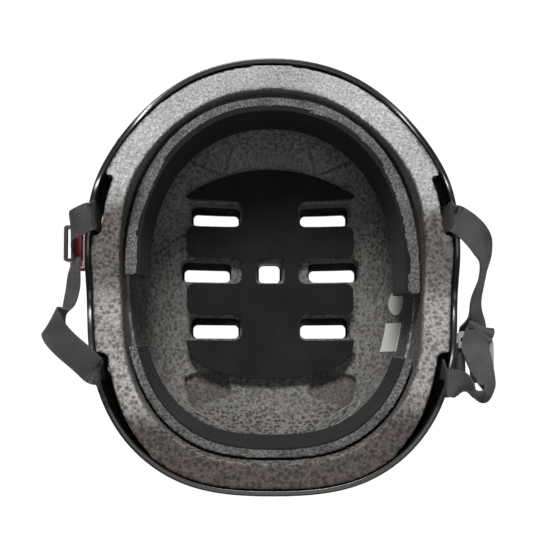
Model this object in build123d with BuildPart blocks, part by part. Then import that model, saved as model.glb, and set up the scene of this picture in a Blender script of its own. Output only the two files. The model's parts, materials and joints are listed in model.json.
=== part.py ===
from build123d import *
import os
from math import asin, cos, degrees, hypot, radians, sin

# Skateboard helmet lying on its crown with the head opening up.
# Millimetres. +Z goes up out of the opening, +Y to the brow, +X to the side with the divider.
# The origin is the middle of the small flat on the crown that touches the floor.

# Hard shell
shell_half_width = 108.0
shell_ahead = 121.0
shell_behind = 135.0
shell_wall = 3.0
belt_height = 115.0
front_power = 2.15
rear_power = 2.65
dome_power = 2.3
lobe_power = 2.3
crown_flat_share = 0.17
block_top = 172.0

# Rim of the shell, as heights above the crown
brow_rim = 125.0
temple_rim = 149.5
ear_rim = 137.0
nape_rim = 156.0
overrun = 12.0

# Foam liner
glue_gap = 0.3
liner_drop = 1.5
bowl_half_width = 85.0
bowl_ahead = 99.2
bowl_behind = 109.5
bowl_floor = 30.0
bowl_power = 3.0
ledge_height = 108.0
ledge_width = 2.3
side_flare = 1.5
front_flare = 3.7
rear_flare = 6.7

# Vents
vent_length = 30.0
vent_width = 9.0
vent_corner = 3.0
vent_lead = 2.2
liner_vent_margin = 2.5
vent_row_pitch = 37.0
vent_row_out = 36.0
vent_mid_out = 42.0
centre_vent_length = 14.0
centre_vent_width = 12.0

# Shallow recesses in the liner beside the crown pad
recess_length = 27.0
recess_width = 20.0
recess_lean = 18.0
recess_depth = 4.0
recess_out = 40.0
recess_ahead = 76.0
recess_behind = 75.0

# Comfort pads
foam_thick = 5.0
cloth_thick = 0.8
cloth_gap = 0.05
hook_thick = 1.2
hook_gap = 0.1
pad_clearance = 0.3
hook_radius = 7.0
pad_blend_below = 2.0
pad_blend_above = 10.0
brow_hook_height = 97.0
brow_strip = 38.0
brow_pad_low = 77.0
brow_pad_rise = 16.0
brow_pad_left_end = -9.0
brow_pad_right_end = -20.0
rear_pad_top = 145.0
rear_pad_bottom = 112.0
rear_pad_left_end = -51.0
rear_pad_right_end = -58.0

# Crown pad
crown_foam_thick = 6.5
crown_pad_half_width = 53.5
crown_pad_ahead = 65.0
crown_pad_behind = 70.0
crown_shoulder_ahead = 47.0
crown_shoulder_behind = 45.0
crown_notch_width = 17.0
crown_spine_half = 18.5
crown_corner = 5.0
crown_hook_radius = 7.0
crown_hook_out = 33.0

# Webbing, and the pockets that it rises from
web_width = 16.0
web_thick = 1.4
web_gap = 0.3
fold_gap = 0.95
front_fold_lift = 2.6
rear_fold_lift = 2.4
pocket_depth = 5.4
rear_pocket_depth = 8.0
rear_pocket_shift = 10.5
pocket_floor_height = 100.0
front_pocket_start = 13.0
front_pocket_end = 48.0
rear_pocket_start = -112.0
rear_pocket_end = -55.0
front_anchor = 24.0
rear_anchor = -65.0
rivet_height = 116.0
root_end_drop = 9.0

# Rivets
rivet_shank_radius = 2.5
rivet_hole_play = 0.1
rivet_head_radius = 6.0
rivet_head_height = 2.4
rivet_head_gap = 0.1
rivet_head_round = 2.0
rivet_tail_radius = 4.0
rivet_tail_height = 1.0
washer_radius = 6.5
washer_thick = 1.0
seat_gap = 0.8

# Web bars, and the slots that the webs turn through
bar_radius = 1.6
bar_slot = 3.0
edge_break = 0.5

# Quick-release plug and keeper, hanging from the left webs
plug_out = 10.6
plug_along = -15.0
plug_drop = 33.5
plug_width = 25.0
plug_thick = 7.0
plug_base = 8.0
plug_corner = 2.0
guide_width = 5.0
guide_thick = 4.0
guide_length = 22.0
wing_length = 24.0
wing_thick = 5.4
wing_round = 0.6
wing_gap = 0.3
keeper_height = 6.0
keeper_wall = 1.8
keeper_drop = 2.5
keeper_play = 0.8
keeper_shift = 0.4

# Divider, hanging from the right webs
divider_width = 20.6
divider_back = -72.0
divider_length = 30.0
divider_height = 134.0
divider_thick = 3.5
divider_bar = 3.6
divider_rail = 2.7
divider_slot = 3.6
divider_corner = 2.0
divider_round = 7.0
chin_bar_drop = 4.6
lug_thick = 3.0
lug_margin = 0.6
lap_turn = 2.4
lap_share = 0.70

# Chin strap, hanging from the divider
chin_out = 109.5
chin_along = -60.0
chin_layer_gap = 0.5
chin_stitch_drop = 20.0
chin_spread = 12.0
chin_settle = 5.0
socket_bar_height = 44.0
chin_pad_length = 36.0
chin_pad_width = 24.0
chin_pad_thick = 9.0
chin_pad_travel = 6.0
slider_height = 6.0

# Buckle socket on the chin strap
socket_width = 28.0
socket_thick = 10.0
socket_length = 28.0
socket_wall = 1.6
socket_head = 6.0
socket_corner = 3.0
socket_window = 9.0
socket_window_share = 0.45

# Plain stickers on the liner
sticker_thick = 0.3
sticker_gap = 0.1
oval_length = 16.0
oval_height = 19.0
oval_along = -22.0
sticker_height = 67.0
label_length = 18.0
label_height = 20.0
label_along = -44.0

# Shares that shape the outlines
outline_steps = 8
dome_levels = 7
rim_shares = ((0.70, 0.06), (0.50, 0.55), (0.31, 0.98), (0.17, 0.94))
ear_shares = ((-0.02, 0.40), (-0.16, 0.00), (-0.31, 0.33), (-0.44, 0.82), (-0.56, 0.96))

pad_stand = hook_gap + hook_thick + pad_clearance
front_step = 1.0


def half_outline(half_width, reach, power, side):
    """Points of half a superellipse, from +X round to -X."""
    points = []
    for step in range(outline_steps + 1):
        turn = radians(180 * step / outline_steps)
        across = abs(cos(turn)) ** (2 / power)
        along = abs(sin(turn)) ** (2 / power)
        if step == outline_steps:
            along = 0
        if 2 * step == outline_steps:
            across = 0
        if 2 * step > outline_steps:
            across = -across
        points.append((half_width * across, side * reach * along))
    return points


def egg_body(half_width, ahead, behind, floor, belt, top, power):
    """Solid egg in plan, round below the belt and upright above it, flat at its lowest point."""
    drop = (belt - floor) * (1 - crown_flat_share ** power) ** (-1 / power)
    first = degrees(asin(crown_flat_share ** (power / 2)))
    with BuildPart() as body:
        for level in range(dome_levels + 1):
            turn = radians(first + (90 - first) * level / dome_levels)
            share = sin(turn) ** (2 / power)
            height = belt - drop * abs(cos(turn)) ** (2 / power)
            ahead_curve = half_outline(half_width * share, ahead * share, front_power, 1)
            behind_curve = half_outline(half_width * share, behind * share, rear_power, -1)
            with BuildSketch(Plane.XY.offset(height)):
                with BuildLine():
                    Spline(*ahead_curve, tangents=((0, 1), (0, -1)), tangent_scalars=(1, 1))
                    Spline(*behind_curve, tangents=((0, -1), (0, 1)), tangent_scalars=(1, 1))
                make_face()
        loft()
        extrude(body.faces().sort_by(Axis.Z)[-1], amount=top - belt)
    return body.part


def dome(inset):
    """The outside of the shell, or the same form a wall further in."""
    half_width = shell_half_width - inset
    return egg_body(
        half_width, shell_ahead - inset, shell_behind - inset, inset, belt_height, block_top, dome_power
    )


def bowl(inset):
    """The inside of the liner below its ledge."""
    half_width = bowl_half_width - inset
    floor = bowl_floor + inset
    return egg_body(
        half_width, bowl_ahead - inset, bowl_behind - inset, floor, ledge_height, block_top, bowl_power
    )


def flaring_body(inset, levels):
    """The bowl's plan at several heights, wider by a step and by the flare of the liner there."""
    with BuildPart() as body:
        for height, step in levels:
            rise = max(height - ledge_height, 0)
            half_width = bowl_half_width + step - inset + rise * sin(radians(side_flare))
            ahead = bowl_ahead + step - inset + rise * sin(radians(front_flare))
            behind = bowl_behind + step - inset + rise * sin(radians(rear_flare))
            ahead_curve = half_outline(half_width, ahead, front_power, 1)
            behind_curve = half_outline(half_width, behind, rear_power, -1)
            with BuildSketch(Plane.XY.offset(height)):
                with BuildLine():
                    Spline(*ahead_curve, tangents=((0, 1), (0, -1)), tangent_scalars=(1, 1))
                    Spline(*behind_curve, tangents=((0, -1), (0, 1)), tangent_scalars=(1, 1))
                make_face()
        loft(ruled=True)
    return body.part


def throat(inset):
    """The inside of the liner above its ledge."""
    return flaring_body(inset, ((ledge_height, ledge_width), (block_top, ledge_width)))


def pad_form(inset):
    """The bowl and the throat with an even slope from one to the other, as a pad bridges the ledge."""
    slope = flaring_body(
        inset,
        (
            (ledge_height - pad_blend_below, 0),
            (ledge_height + pad_blend_above, ledge_width),
            (block_top, ledge_width),
        ),
    )
    return bowl(inset) + slope


def above_rim(shift):
    """Everything higher than the rim's side profile moved up by the shift."""
    front_points = [
        (share * shell_ahead, brow_rim + rise * (temple_rim - brow_rim) + shift)
        for share, rise in rim_shares
    ]
    rear_points = [
        (share * shell_behind, ear_rim + rise * (nape_rim - ear_rim) + shift)
        for share, rise in ear_shares
    ]
    front_end = (shell_ahead + overrun, brow_rim + shift)
    rear_end = (-shell_behind - overrun, nape_rim + shift)
    ceiling = block_top + overrun
    with BuildPart() as body:
        with BuildSketch(Plane.YZ):
            with BuildLine():
                Spline(front_end, *front_points, *rear_points, rear_end, tangents=((-1, 0), (-1, 0)))
                Line(rear_end, (rear_end[0], ceiling))
                Line((rear_end[0], ceiling), (front_end[0], ceiling))
                Line((front_end[0], ceiling), front_end)
            make_face()
        extrude(amount=shell_half_width + overrun, both=True)
    return body.part


def slab(low_corner, high_corner):
    """Box between two corners."""
    sizes = [high - low for low, high in zip(low_corner, high_corner)]
    middle = [(high + low) / 2 for low, high in zip(low_corner, high_corner)]
    return Pos(*middle) * Box(*sizes, mode=Mode.PRIVATE)


def wall_x(body, along):
    """Half width of a body's upright wall at a place along Y."""
    hits = body.find_intersection_points(Axis((0, along, rivet_height), (1, 0, 0)))
    return max(point.X for point, normal in hits)


def wall_normal(along):
    """Outward direction of the shell's +X wall at a place along Y."""
    run = wall_x(outside, along + front_step) - wall_x(outside, along - front_step)
    length = hypot(2 * front_step, run)
    return (2 * front_step / length, -run / length)


def unit(vector):
    return Vector(*vector).normalized()


def webbing(centres, acrosses, width=web_width, thick=web_thick):
    """Flat webbing through the centres; each section's width lies along its across vector.

    The first section keeps its across vector as it is, so that the webbing folds along it.
    """
    rings = []
    for index, centre in enumerate(centres):
        before = centres[max(index - 1, 0)]
        after = centres[min(index + 1, len(centres) - 1)]
        tangent = (Vector(*after) - Vector(*before)).normalized()
        across = unit(acrosses[index])
        if index > 0:
            across = (across - tangent * across.dot(tangent)).normalized()
        through = tangent.cross(across).normalized()
        rings.append(
            [
                Vector(*centre) + across * (x * width / 2) + through * (y * thick / 2)
                for x, y in ((-1, -1), (1, -1), (1, 1), (-1, 1))
            ]
        )
    faces = [Face(Wire.make_polygon(rings[0])), Face(Wire.make_polygon(rings[-1]))]
    for ring, next_ring in zip(rings, rings[1:]):
        for corner in range(len(ring)):
            side = Edge.make_line(ring[corner - 1], ring[corner])
            next_side = Edge.make_line(next_ring[corner - 1], next_ring[corner])
            faces.append(Face.make_surface_from_curves(side, next_side))
    return Solid(Shell(faces))


def leg_stations(side, base, shares):
    """Centres and across vectors of a leg, from shares of the web's width out, along and up.

    The first across vector lies along the line on which both legs of a side swing.
    """
    centres = []
    acrosses = []
    for out, along, up, across_out, across_along, across_up in shares:
        centres.append(
            (
                side * (base[0] + out * web_width),
                base[1] + along * web_width,
                base[2] + up * web_width,
            )
        )
        acrosses.append((side * across_out, across_along, across_up))
    acrosses[0] = (
        side * (front_base[0] - rear_base[0]),
        front_base[1] - rear_base[1],
        front_base[2] - rear_base[2],
    )
    return centres, acrosses


# Hard shell
vent_places = [
    (side * (vent_mid_out if row == 0 else vent_row_out), row * vent_row_pitch)
    for row in (1, 0, -1)
    for side in (-1, 1)
]
anchor_places = [(side, along) for along in (front_anchor, rear_anchor) for side in (-1, 1)]

outside = dome(0)
inside = dome(shell_wall)
above = above_rim(0)
with BuildPart() as outer_shell:
    add(outside)
    add(inside, mode=Mode.SUBTRACT)
    add(above, mode=Mode.SUBTRACT)
    with BuildSketch():
        with Locations(*[(x, y - vent_lead) for x, y in vent_places]):
            RectangleRounded(vent_length, vent_width, vent_corner)
        RectangleRounded(centre_vent_length, centre_vent_width, vent_corner)
    extrude(amount=bowl_floor, mode=Mode.SUBTRACT)
    for side, along in anchor_places:
        out, back = wall_normal(along)
        hole_plane = Plane(
            origin=(side * wall_x(outside, along), along, rivet_height), z_dir=(side * out, back, 0)
        )
        with BuildSketch(hole_plane):
            Circle(rivet_shank_radius + rivet_hole_play)
        extrude(amount=overrun, both=True, mode=Mode.SUBTRACT)

# Foam liner
liner_inset = shell_wall + glue_gap
front_pocket_floor = dome(liner_inset + pocket_depth)
rear_pocket_floor = Pos(0, -rear_pocket_shift, 0) * dome(liner_inset + rear_pocket_depth)
pockets = []
for start, end, pocket_floor in (
    (front_pocket_start, front_pocket_end, front_pocket_floor),
    (rear_pocket_start, rear_pocket_end, rear_pocket_floor),
):
    for side in (-1, 1):
        low_x = min(0, side * (shell_half_width + overrun))
        high_x = max(0, side * (shell_half_width + overrun))
        region = slab((low_x, start, pocket_floor_height), (high_x, end, block_top))
        pockets.append(region - pocket_floor)

with BuildPart() as recesses:
    with BuildSketch():
        for side in (-1, 1):
            for along, lean in ((recess_ahead, recess_lean), (-recess_behind, -recess_lean)):
                with Locations(Location((side * recess_out, along), side * lean)):
                    RectangleRounded(recess_length, recess_width, vent_corner)
    extrude(amount=ledge_height)
    add(bowl(-recess_depth), mode=Mode.INTERSECT)

with BuildPart() as eps_liner:
    add(dome(liner_inset))
    add(above_rim(-liner_drop), mode=Mode.SUBTRACT)
    add(bowl(0), mode=Mode.SUBTRACT)
    add(throat(0), mode=Mode.SUBTRACT)
    for pocket in pockets:
        add(pocket, mode=Mode.SUBTRACT)
    add(recesses.part, mode=Mode.SUBTRACT)
    with BuildSketch():
        with Locations(*vent_places):
            RectangleRounded(
                vent_length + liner_vent_margin, vent_width + 2 * liner_vent_margin, vent_corner
            )
        RectangleRounded(
            centre_vent_length + liner_vent_margin, centre_vent_width + liner_vent_margin, vent_corner
        )
    extrude(amount=ledge_height, mode=Mode.SUBTRACT)

# Brow and rear pads: a foam strip with a thin cloth face
with BuildPart() as brow_region:
    for side, end in ((-1, brow_pad_left_end), (1, brow_pad_right_end)):
        end_low = brow_pad_low + brow_pad_rise * (shell_ahead - end) / shell_ahead
        with BuildSketch(Plane.YZ):
            with BuildLine():
                Polyline(
                    (shell_ahead, brow_pad_low),
                    (shell_ahead, brow_pad_low + brow_strip),
                    (end, end_low + brow_strip),
                    (end, end_low),
                    close=True,
                )
            make_face()
        extrude(amount=side * shell_half_width)
rear_region = slab(
    (-shell_half_width, -shell_behind, rear_pad_bottom), (0, rear_pad_left_end, rear_pad_top)
) + slab((0, -shell_behind, rear_pad_bottom), (shell_half_width, rear_pad_right_end, rear_pad_top))


def wall_layer(form, region, inset, thick):
    """Layer of even thickness that follows a wall of the liner inside a region."""
    with BuildPart() as layer:
        add(form(inset))
        add(form(inset + thick), mode=Mode.SUBTRACT)
        add(region, mode=Mode.INTERSECT)
    return layer.part


face_inset = pad_stand + foam_thick + cloth_gap
with BuildPart() as brow_pad_foam:
    add(wall_layer(pad_form, brow_region.part, pad_stand, foam_thick))
with BuildPart() as brow_pad_face:
    add(wall_layer(pad_form, brow_region.part, face_inset, cloth_thick))
with BuildPart() as rear_pad_foam:
    add(wall_layer(throat, rear_region, pad_stand, foam_thick))
with BuildPart() as rear_pad_face:
    add(wall_layer(throat, rear_region, face_inset, cloth_thick))

# Crown pad: a spine with open notches that leave the vents free
rear_lobe = half_outline(
    crown_pad_half_width, crown_pad_behind - crown_shoulder_behind, lobe_power, -1
)
with BuildPart() as crown_region:
    with BuildSketch():
        with BuildLine():
            ThreePointArc(
                (-crown_pad_half_width, crown_shoulder_ahead),
                (0, crown_pad_ahead),
                (crown_pad_half_width, crown_shoulder_ahead),
            )
            Line(
                (crown_pad_half_width, crown_shoulder_ahead),
                (crown_pad_half_width, -crown_shoulder_behind),
            )
            Spline(
                *[(x, y - crown_shoulder_behind) for x, y in rear_lobe],
                tangents=((0, -1), (0, 1)),
                tangent_scalars=(1, 1),
            )
            Line(
                (-crown_pad_half_width, -crown_shoulder_behind),
                (-crown_pad_half_width, crown_shoulder_ahead),
            )
        make_face()
        for row in (1, 0, -1):
            for side in (-1, 1):
                with Locations((side * (crown_spine_half + crown_pad_half_width), row * vent_row_pitch)):
                    Rectangle(2 * crown_pad_half_width, crown_notch_width, mode=Mode.SUBTRACT)
        tips = vertices().filter_by(
            lambda corner: abs(corner.Y) > vent_row_pitch and abs(corner.X) > 2 * crown_spine_half
        )
        fillet(vertices() - tips, crown_corner)
        RectangleRounded(
            centre_vent_length + 2 * liner_vent_margin,
            centre_vent_width + 2 * liner_vent_margin,
            vent_corner,
            mode=Mode.SUBTRACT,
        )
    extrude(amount=ledge_height)

crown_face_inset = pad_stand + crown_foam_thick + cloth_gap
with BuildPart() as crown_pad_foam:
    add(wall_layer(bowl, crown_region.part, pad_stand, crown_foam_thick))
with BuildPart() as crown_pad_face:
    add(wall_layer(bowl, crown_region.part, crown_face_inset, cloth_thick))

# Hook patches that hold the pads, glued to the liner
with BuildPart() as brow_hooks:
    for turn in (10, 50, 90, 130, 170):
        facing = (cos(radians(turn)), sin(radians(turn)), 0)
        with BuildSketch(Plane(origin=(0, 0, brow_hook_height), z_dir=facing)):
            Circle(hook_radius)
        extrude(amount=shell_behind)
    add(bowl(hook_gap), mode=Mode.INTERSECT)
    add(bowl(hook_gap + hook_thick), mode=Mode.SUBTRACT)
with BuildPart() as rear_hooks:
    for turn in (-40, -90, -140):
        height = (rear_pad_top + rear_pad_bottom) / 2
        facing = (cos(radians(turn)), sin(radians(turn)), 0)
        with BuildSketch(Plane(origin=(0, 0, height), z_dir=facing)):
            Circle(hook_radius)
        extrude(amount=shell_behind)
    add(throat(hook_gap), mode=Mode.INTERSECT)
    add(throat(hook_gap + hook_thick), mode=Mode.SUBTRACT)
with BuildPart() as crown_hooks:
    with BuildSketch():
        with GridLocations(2 * crown_hook_out, vent_row_pitch, 2, 2):
            Circle(crown_hook_radius)
    extrude(amount=ledge_height)
    add(bowl(hook_gap), mode=Mode.INTERSECT)
    add(bowl(hook_gap + hook_thick), mode=Mode.SUBTRACT)

# Web roots: the riveted ends that rise between shell and liner and turn over the rim
root_inset = shell_wall + web_gap
web_turn = shell_wall / 2 + web_gap
rim_lift = above_rim(web_gap)
rim_cap = above_rim(web_gap + web_thick)
root_outer = dome(root_inset)
root_inner = dome(root_inset + web_thick)
cap_outer = dome(web_turn)
front_fold = (wall_x(cap_outer, front_anchor), front_anchor)
rear_fold = (wall_x(cap_outer, rear_anchor), rear_anchor)
fold_run = (front_fold[0] - rear_fold[0], front_fold[1] - rear_fold[1])
fold_start = (front_fold[0] + fold_run[0], front_fold[1] + fold_run[1])
fold_end = (rear_fold[0] - fold_run[0], rear_fold[1] - fold_run[1])
with BuildPart() as past_fold:
    for side in (-1, 1):
        with BuildSketch():
            with BuildLine():
                Polyline(
                    (side * fold_start[0], fold_start[1]),
                    (side * fold_end[0], fold_end[1]),
                    (side * 2 * shell_half_width, fold_end[1]),
                    (side * 2 * shell_half_width, fold_start[1]),
                    close=True,
                )
            make_face()
        extrude(amount=block_top)
with BuildPart() as web_roots:
    for side, along in anchor_places:
        low_x = min(0, side * (shell_half_width + overrun))
        high_x = max(0, side * (shell_half_width + overrun))
        start = along - web_width / 2
        upright = slab(
            (low_x, start, rivet_height - root_end_drop), (high_x, start + web_width, block_top)
        )
        root = ((upright & root_outer) - root_inner) - rim_cap
        cap = (((upright & outside) - root_inner) & rim_lift) - rim_cap - past_fold.part
        add(root + cap)
    for side, along in anchor_places:
        out, back = wall_normal(along)
        hole_plane = Plane(
            origin=(side * wall_x(outside, along), along, rivet_height), z_dir=(side * out, back, 0)
        )
        with BuildSketch(hole_plane):
            Circle(rivet_shank_radius + rivet_hole_play)
        extrude(amount=overrun, both=True, mode=Mode.SUBTRACT)


def rivet(side, along):
    """Domed head outside, shank through shell and web, clinched tail behind the washer."""
    out, back = wall_normal(along)
    seat = Plane(
        origin=(side * wall_x(outside, along), along, rivet_height),
        x_dir=(0, 0, 1),
        z_dir=(side * out, back, 0),
    )
    grip = shell_wall + web_gap + web_thick + seat_gap + washer_thick + web_gap
    with BuildPart() as piece:
        with BuildSketch(Plane.XY.offset(rivet_head_gap)):
            Circle(rivet_head_radius)
        extrude(amount=rivet_head_height - rivet_head_gap)
        fillet(piece.faces().sort_by(Axis.Z)[-1].edges(), rivet_head_round)
        with BuildSketch(Plane.XY.offset(-grip - rivet_tail_height)):
            Circle(rivet_tail_radius)
        extrude(amount=rivet_tail_height)
        with BuildSketch(Plane.XY.offset(-grip)):
            Circle(rivet_shank_radius)
        extrude(amount=grip + rivet_head_gap)
    return seat.location * piece.part


def washer(side, along):
    """Flat ring between the riveted web and the clinched tail."""
    out, back = wall_normal(along)
    depth = shell_wall + web_gap + web_thick + seat_gap + washer_thick
    seat = Plane(
        origin=(
            side * (wall_x(outside, along) - depth * out),
            along - depth * back,
            rivet_height,
        ),
        z_dir=(side * out, back, 0),
    )
    with BuildPart() as ring:
        with BuildSketch(seat):
            Circle(washer_radius)
            Circle(rivet_shank_radius + rivet_hole_play, mode=Mode.SUBTRACT)
        extrude(amount=washer_thick)
    return ring.part


with BuildPart() as front_rivets:
    for side in (-1, 1):
        add(rivet(side, front_anchor))
with BuildPart() as rear_rivets:
    for side in (-1, 1):
        add(rivet(side, rear_anchor))
with BuildPart() as rivet_washers:
    for side, along in anchor_places:
        add(washer(side, along))

# Plain stickers on the liner's +X wall
with BuildPart() as size_sticker:
    with BuildSketch(Plane.YZ):
        with Locations((oval_along, sticker_height)):
            Ellipse(oval_length / 2, oval_height / 2)
    extrude(amount=shell_half_width)
    add(bowl(sticker_gap), mode=Mode.INTERSECT)
    add(bowl(sticker_gap + sticker_thick), mode=Mode.SUBTRACT)
with BuildPart() as label_sticker:
    with BuildSketch(Plane.YZ):
        with Locations((label_along, sticker_height)):
            Rectangle(label_length, label_height)
    extrude(amount=shell_half_width)
    add(bowl(sticker_gap), mode=Mode.INTERSECT)
    add(bowl(sticker_gap + sticker_thick), mode=Mode.SUBTRACT)

# Fold points of the four legs, just outside the middle of the rim
front_base = (front_fold[0] + fold_gap, front_anchor, temple_rim + front_fold_lift)
rear_base = (rear_fold[0] + fold_gap, rear_anchor, nape_rim + rear_fold_lift)

# Left legs; the front one turns round the bar of the plug
plug_x = front_base[0] + plug_out
plug_y = front_base[1] + plug_along
plug_z = front_base[2] - plug_drop
bar_turn = bar_radius + web_gap + web_thick / 2
left_front_shares = (
    (0.00, 0.00, 0.00, 0.00, 1.00, 0.00),
    (0.26, -0.12, 0.03, 0.10, 0.99, 0.00),
    (0.56, -0.34, -0.02, 0.36, 0.93, 0.00),
    (0.75, -0.56, -0.27, 0.36, 0.93, 0.00),
    (0.81, -0.74, -0.68, 0.26, 0.96, 0.00),
    (0.81, -0.88, -1.24, 0.08, 0.99, 0.00),
)
left_rear_shares = (
    (0.00, 0.00, 0.00, 0.00, 1.00, 0.00),
    (0.31, 0.15, 0.06, -0.10, 0.99, 0.00),
    (0.81, 0.55, 0.12, -0.50, 0.86, 0.00),
    (1.31, 1.05, 0.02, -0.60, 0.80, 0.00),
    (1.66, 1.48, -0.18, -0.52, 0.85, 0.00),
    (1.74, 1.67, -0.48, -0.50, 0.87, 0.00),
    (1.56, 1.79, -0.75, -0.50, 0.87, 0.00),
    (1.20, 2.11, -1.00, -0.50, 0.80, 0.34),
    (0.97, 2.92, -1.25, -0.60, 0.25, 0.76),
    (0.90, 3.67, -1.28, -0.50, 0.10, 0.86),
    (0.77, 4.10, -1.28, -0.30, 0.00, 0.95),
)
centres, acrosses = leg_stations(-1, front_base, left_front_shares)
for turn in (0, 45, 90, 135, 180):
    out = bar_turn * cos(radians(turn))
    centres.append((-plug_x - out, plug_y, plug_z - bar_turn * sin(radians(turn))))
    acrosses.append((0, 1, 0))
centres.append((-plug_x + bar_turn, plug_y, plug_z + keeper_drop))
acrosses.append((0, 1, 0))
with BuildPart() as left_front_web:
    add(webbing(centres, acrosses))

centres, acrosses = leg_stations(-1, rear_base, left_rear_shares)
with BuildPart() as left_rear_web:
    add(webbing(centres, acrosses))

keeper_x = plug_x + bar_turn
with BuildPart() as left_keeper:
    with BuildSketch(Plane.XY.offset(plug_z + keeper_drop + keeper_height / 2)):
        with Locations((-keeper_x, plug_y + keeper_shift)):
            RectangleRounded(
                web_thick + 2 * keeper_play + 2 * keeper_wall,
                web_width + 2 * keeper_play + 2 * keeper_wall,
                keeper_wall,
            )
            Rectangle(web_thick + 2 * keeper_play, web_width + 2 * keeper_play, mode=Mode.SUBTRACT)
    extrude(amount=keeper_height)

# Plug: a bar for the web, a guide and two squeeze wings
slot_length = web_width + 2 * web_gap
bar_drop = bar_radius + bar_slot
plug_shoulder = plug_z - bar_drop - plug_base


def bar_frame(centre_x, centre_y, bar_z, width, thick, base, corner):
    """Cheeks and base round a web bar, with the slot that the web turns through."""
    height = bar_radius + bar_drop + base
    with BuildPart() as frame:
        with BuildSketch(Plane.YZ.offset(centre_x)):
            with Locations((centre_y, bar_z + bar_radius - height / 2)):
                RectangleRounded(width, height, corner)
            with Locations((centre_y, bar_z + (bar_radius + overrun - bar_drop) / 2)):
                Rectangle(slot_length, bar_radius + overrun + bar_drop, mode=Mode.SUBTRACT)
        extrude(amount=thick / 2, both=True)
        chamfer(frame.faces().sort_by(Axis.X)[0].outer_wire().edges(), edge_break)
        chamfer(frame.faces().sort_by(Axis.X)[-1].outer_wire().edges(), edge_break)
        with BuildSketch(Plane.XZ.offset(-centre_y)):
            with Locations((centre_x, bar_z)):
                Circle(bar_radius)
        extrude(amount=slot_length / 2 + web_gap, both=True)
    return frame.part


def wing(side):
    """Springy arm of the plug with a catch that swells outward."""
    outline = [
        (plug_y + side * across * plug_width / 2, plug_shoulder - wing_gap - down * wing_length)
        for across, down in wing_shares
    ]
    with BuildPart() as arm:
        with BuildSketch(Plane.YZ.offset(-plug_x)):
            with BuildLine():
                Polyline(*outline, close=True)
            make_face()
            fillet(vertices(), wing_round)
        extrude(amount=wing_thick / 2, both=True)
    return arm.part


wing_shares = (
    (0.55, 0.00),
    (0.86, 0.00),
    (0.90, 0.42),
    (1.06, 0.50),
    (1.04, 0.72),
    (0.76, 1.00),
    (0.54, 1.00),
    (0.62, 0.50),
)
with BuildPart() as plug_body:
    add(bar_frame(-plug_x, plug_y, plug_z, plug_width, plug_thick, plug_base, plug_corner))
    with BuildSketch(Plane.YZ.offset(-plug_x)):
        with Locations((plug_y, plug_shoulder - guide_length / 2 + plug_corner / 2)):
            RectangleRounded(guide_width, guide_length + plug_corner, plug_corner)
    extrude(amount=guide_thick / 2, both=True)
with BuildPart() as plug_wing_front:
    add(wing(1))
with BuildPart() as plug_wing_rear:
    add(wing(-1))

# Divider: a plate with a slot for the front leg, and a bar on lugs under it for the chin strap
divider_outer = chin_out - divider_thick / 2 + divider_width
divider_front = divider_back + divider_length
chin_turn = divider_thick / 2 + web_gap + web_thick / 2
front_slot = divider_front - divider_bar - divider_slot / 2
divider_middle = (chin_out - divider_thick / 2 + divider_outer) / 2
lap_x = divider_outer - divider_rail - slot_length / 2
chin_bar_height = divider_height - chin_bar_drop
with BuildPart() as right_divider:
    with BuildSketch(Plane.XY.offset(divider_height)):
        with Locations((divider_middle, (divider_back + divider_front) / 2)):
            Rectangle(divider_width, divider_length)
        corners = vertices().group_by(Axis.X)
        fillet(corners[0], divider_corner)
        fillet(corners[-1], divider_round)
        with Locations((chin_out, chin_along)):
            Rectangle(divider_thick + 2 * divider_slot, slot_length, mode=Mode.SUBTRACT)
        with Locations((lap_x, front_slot)):
            RectangleRounded(slot_length, divider_slot, divider_slot / 3, mode=Mode.SUBTRACT)
    extrude(amount=divider_thick / 2, both=True)
    for end in (-1, 1):
        lug_along = chin_along + end * (slot_length + lug_thick) / 2
        with BuildSketch(Plane.XZ.offset(-lug_along)):
            with Locations((chin_out, chin_bar_height)):
                Circle(divider_thick / 2 + lug_margin)
            with Locations((chin_out, (divider_height + chin_bar_height) / 2)):
                Rectangle(divider_thick, chin_bar_drop)
        extrude(amount=lug_thick / 2, both=True)
    with BuildSketch(Plane.XZ.offset(-chin_along)):
        with Locations((chin_out, chin_bar_height)):
            Circle(divider_thick / 2)
    extrude(amount=slot_length / 2 + web_gap, both=True)

# Right legs
right_front_shares = (
    (0.00, 0.00, 0.00, 0.00, 1.00, 0.00),
    (0.29, -0.17, 0.03, 0.08, 0.99, 0.00),
    (0.61, -0.54, 0.02, 0.42, 0.90, -0.10),
    (0.87, -1.06, -0.13, 0.60, 0.70, -0.40),
    (0.97, -1.62, -0.37, 0.50, 0.20, -0.84),
    (0.92, -2.25, -0.58, 0.30, -0.05, -0.95),
    (0.85, -3.00, -0.95, 0.50, -0.05, -0.86),
    (0.88, -3.50, -1.20, 0.90, 0.00, -0.40),
)
right_rear_shares = (
    (0.00, 0.00, 0.00, 0.00, 1.00, 0.00),
    (0.28, -0.15, 0.08, 0.16, 0.95, 0.25),
    (0.53, -0.42, -0.04, 0.10, 0.50, 0.86),
    (0.80, -0.64, -0.22, 0.00, 0.10, 0.99),
    (1.12, -0.68, -0.42, 0.00, 0.00, 1.00),
    (1.32, -0.46, -0.62, -0.10, 0.00, 0.99),
    (1.36, -0.08, -0.80, -0.45, 0.00, 0.89),
    (1.30, 0.33, -0.96, -0.80, 0.00, 0.60),
    (1.25, 0.70, -1.10, -0.97, 0.00, 0.25),
)
tuck_drop = divider_thick / 2 + web_gap + web_thick / 2
centres, acrosses = leg_stations(1, front_base, right_front_shares)
for along, drop in (
    (divider_front + web_gap, 2 * tuck_drop),
    (divider_front - divider_bar + web_gap, 2 * tuck_drop),
    (front_slot - web_gap, tuck_drop),
    (front_slot - web_gap, 0),
):
    centres.append((lap_x, along, divider_height - drop))
    acrosses.append((1, 0, 0))
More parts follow.
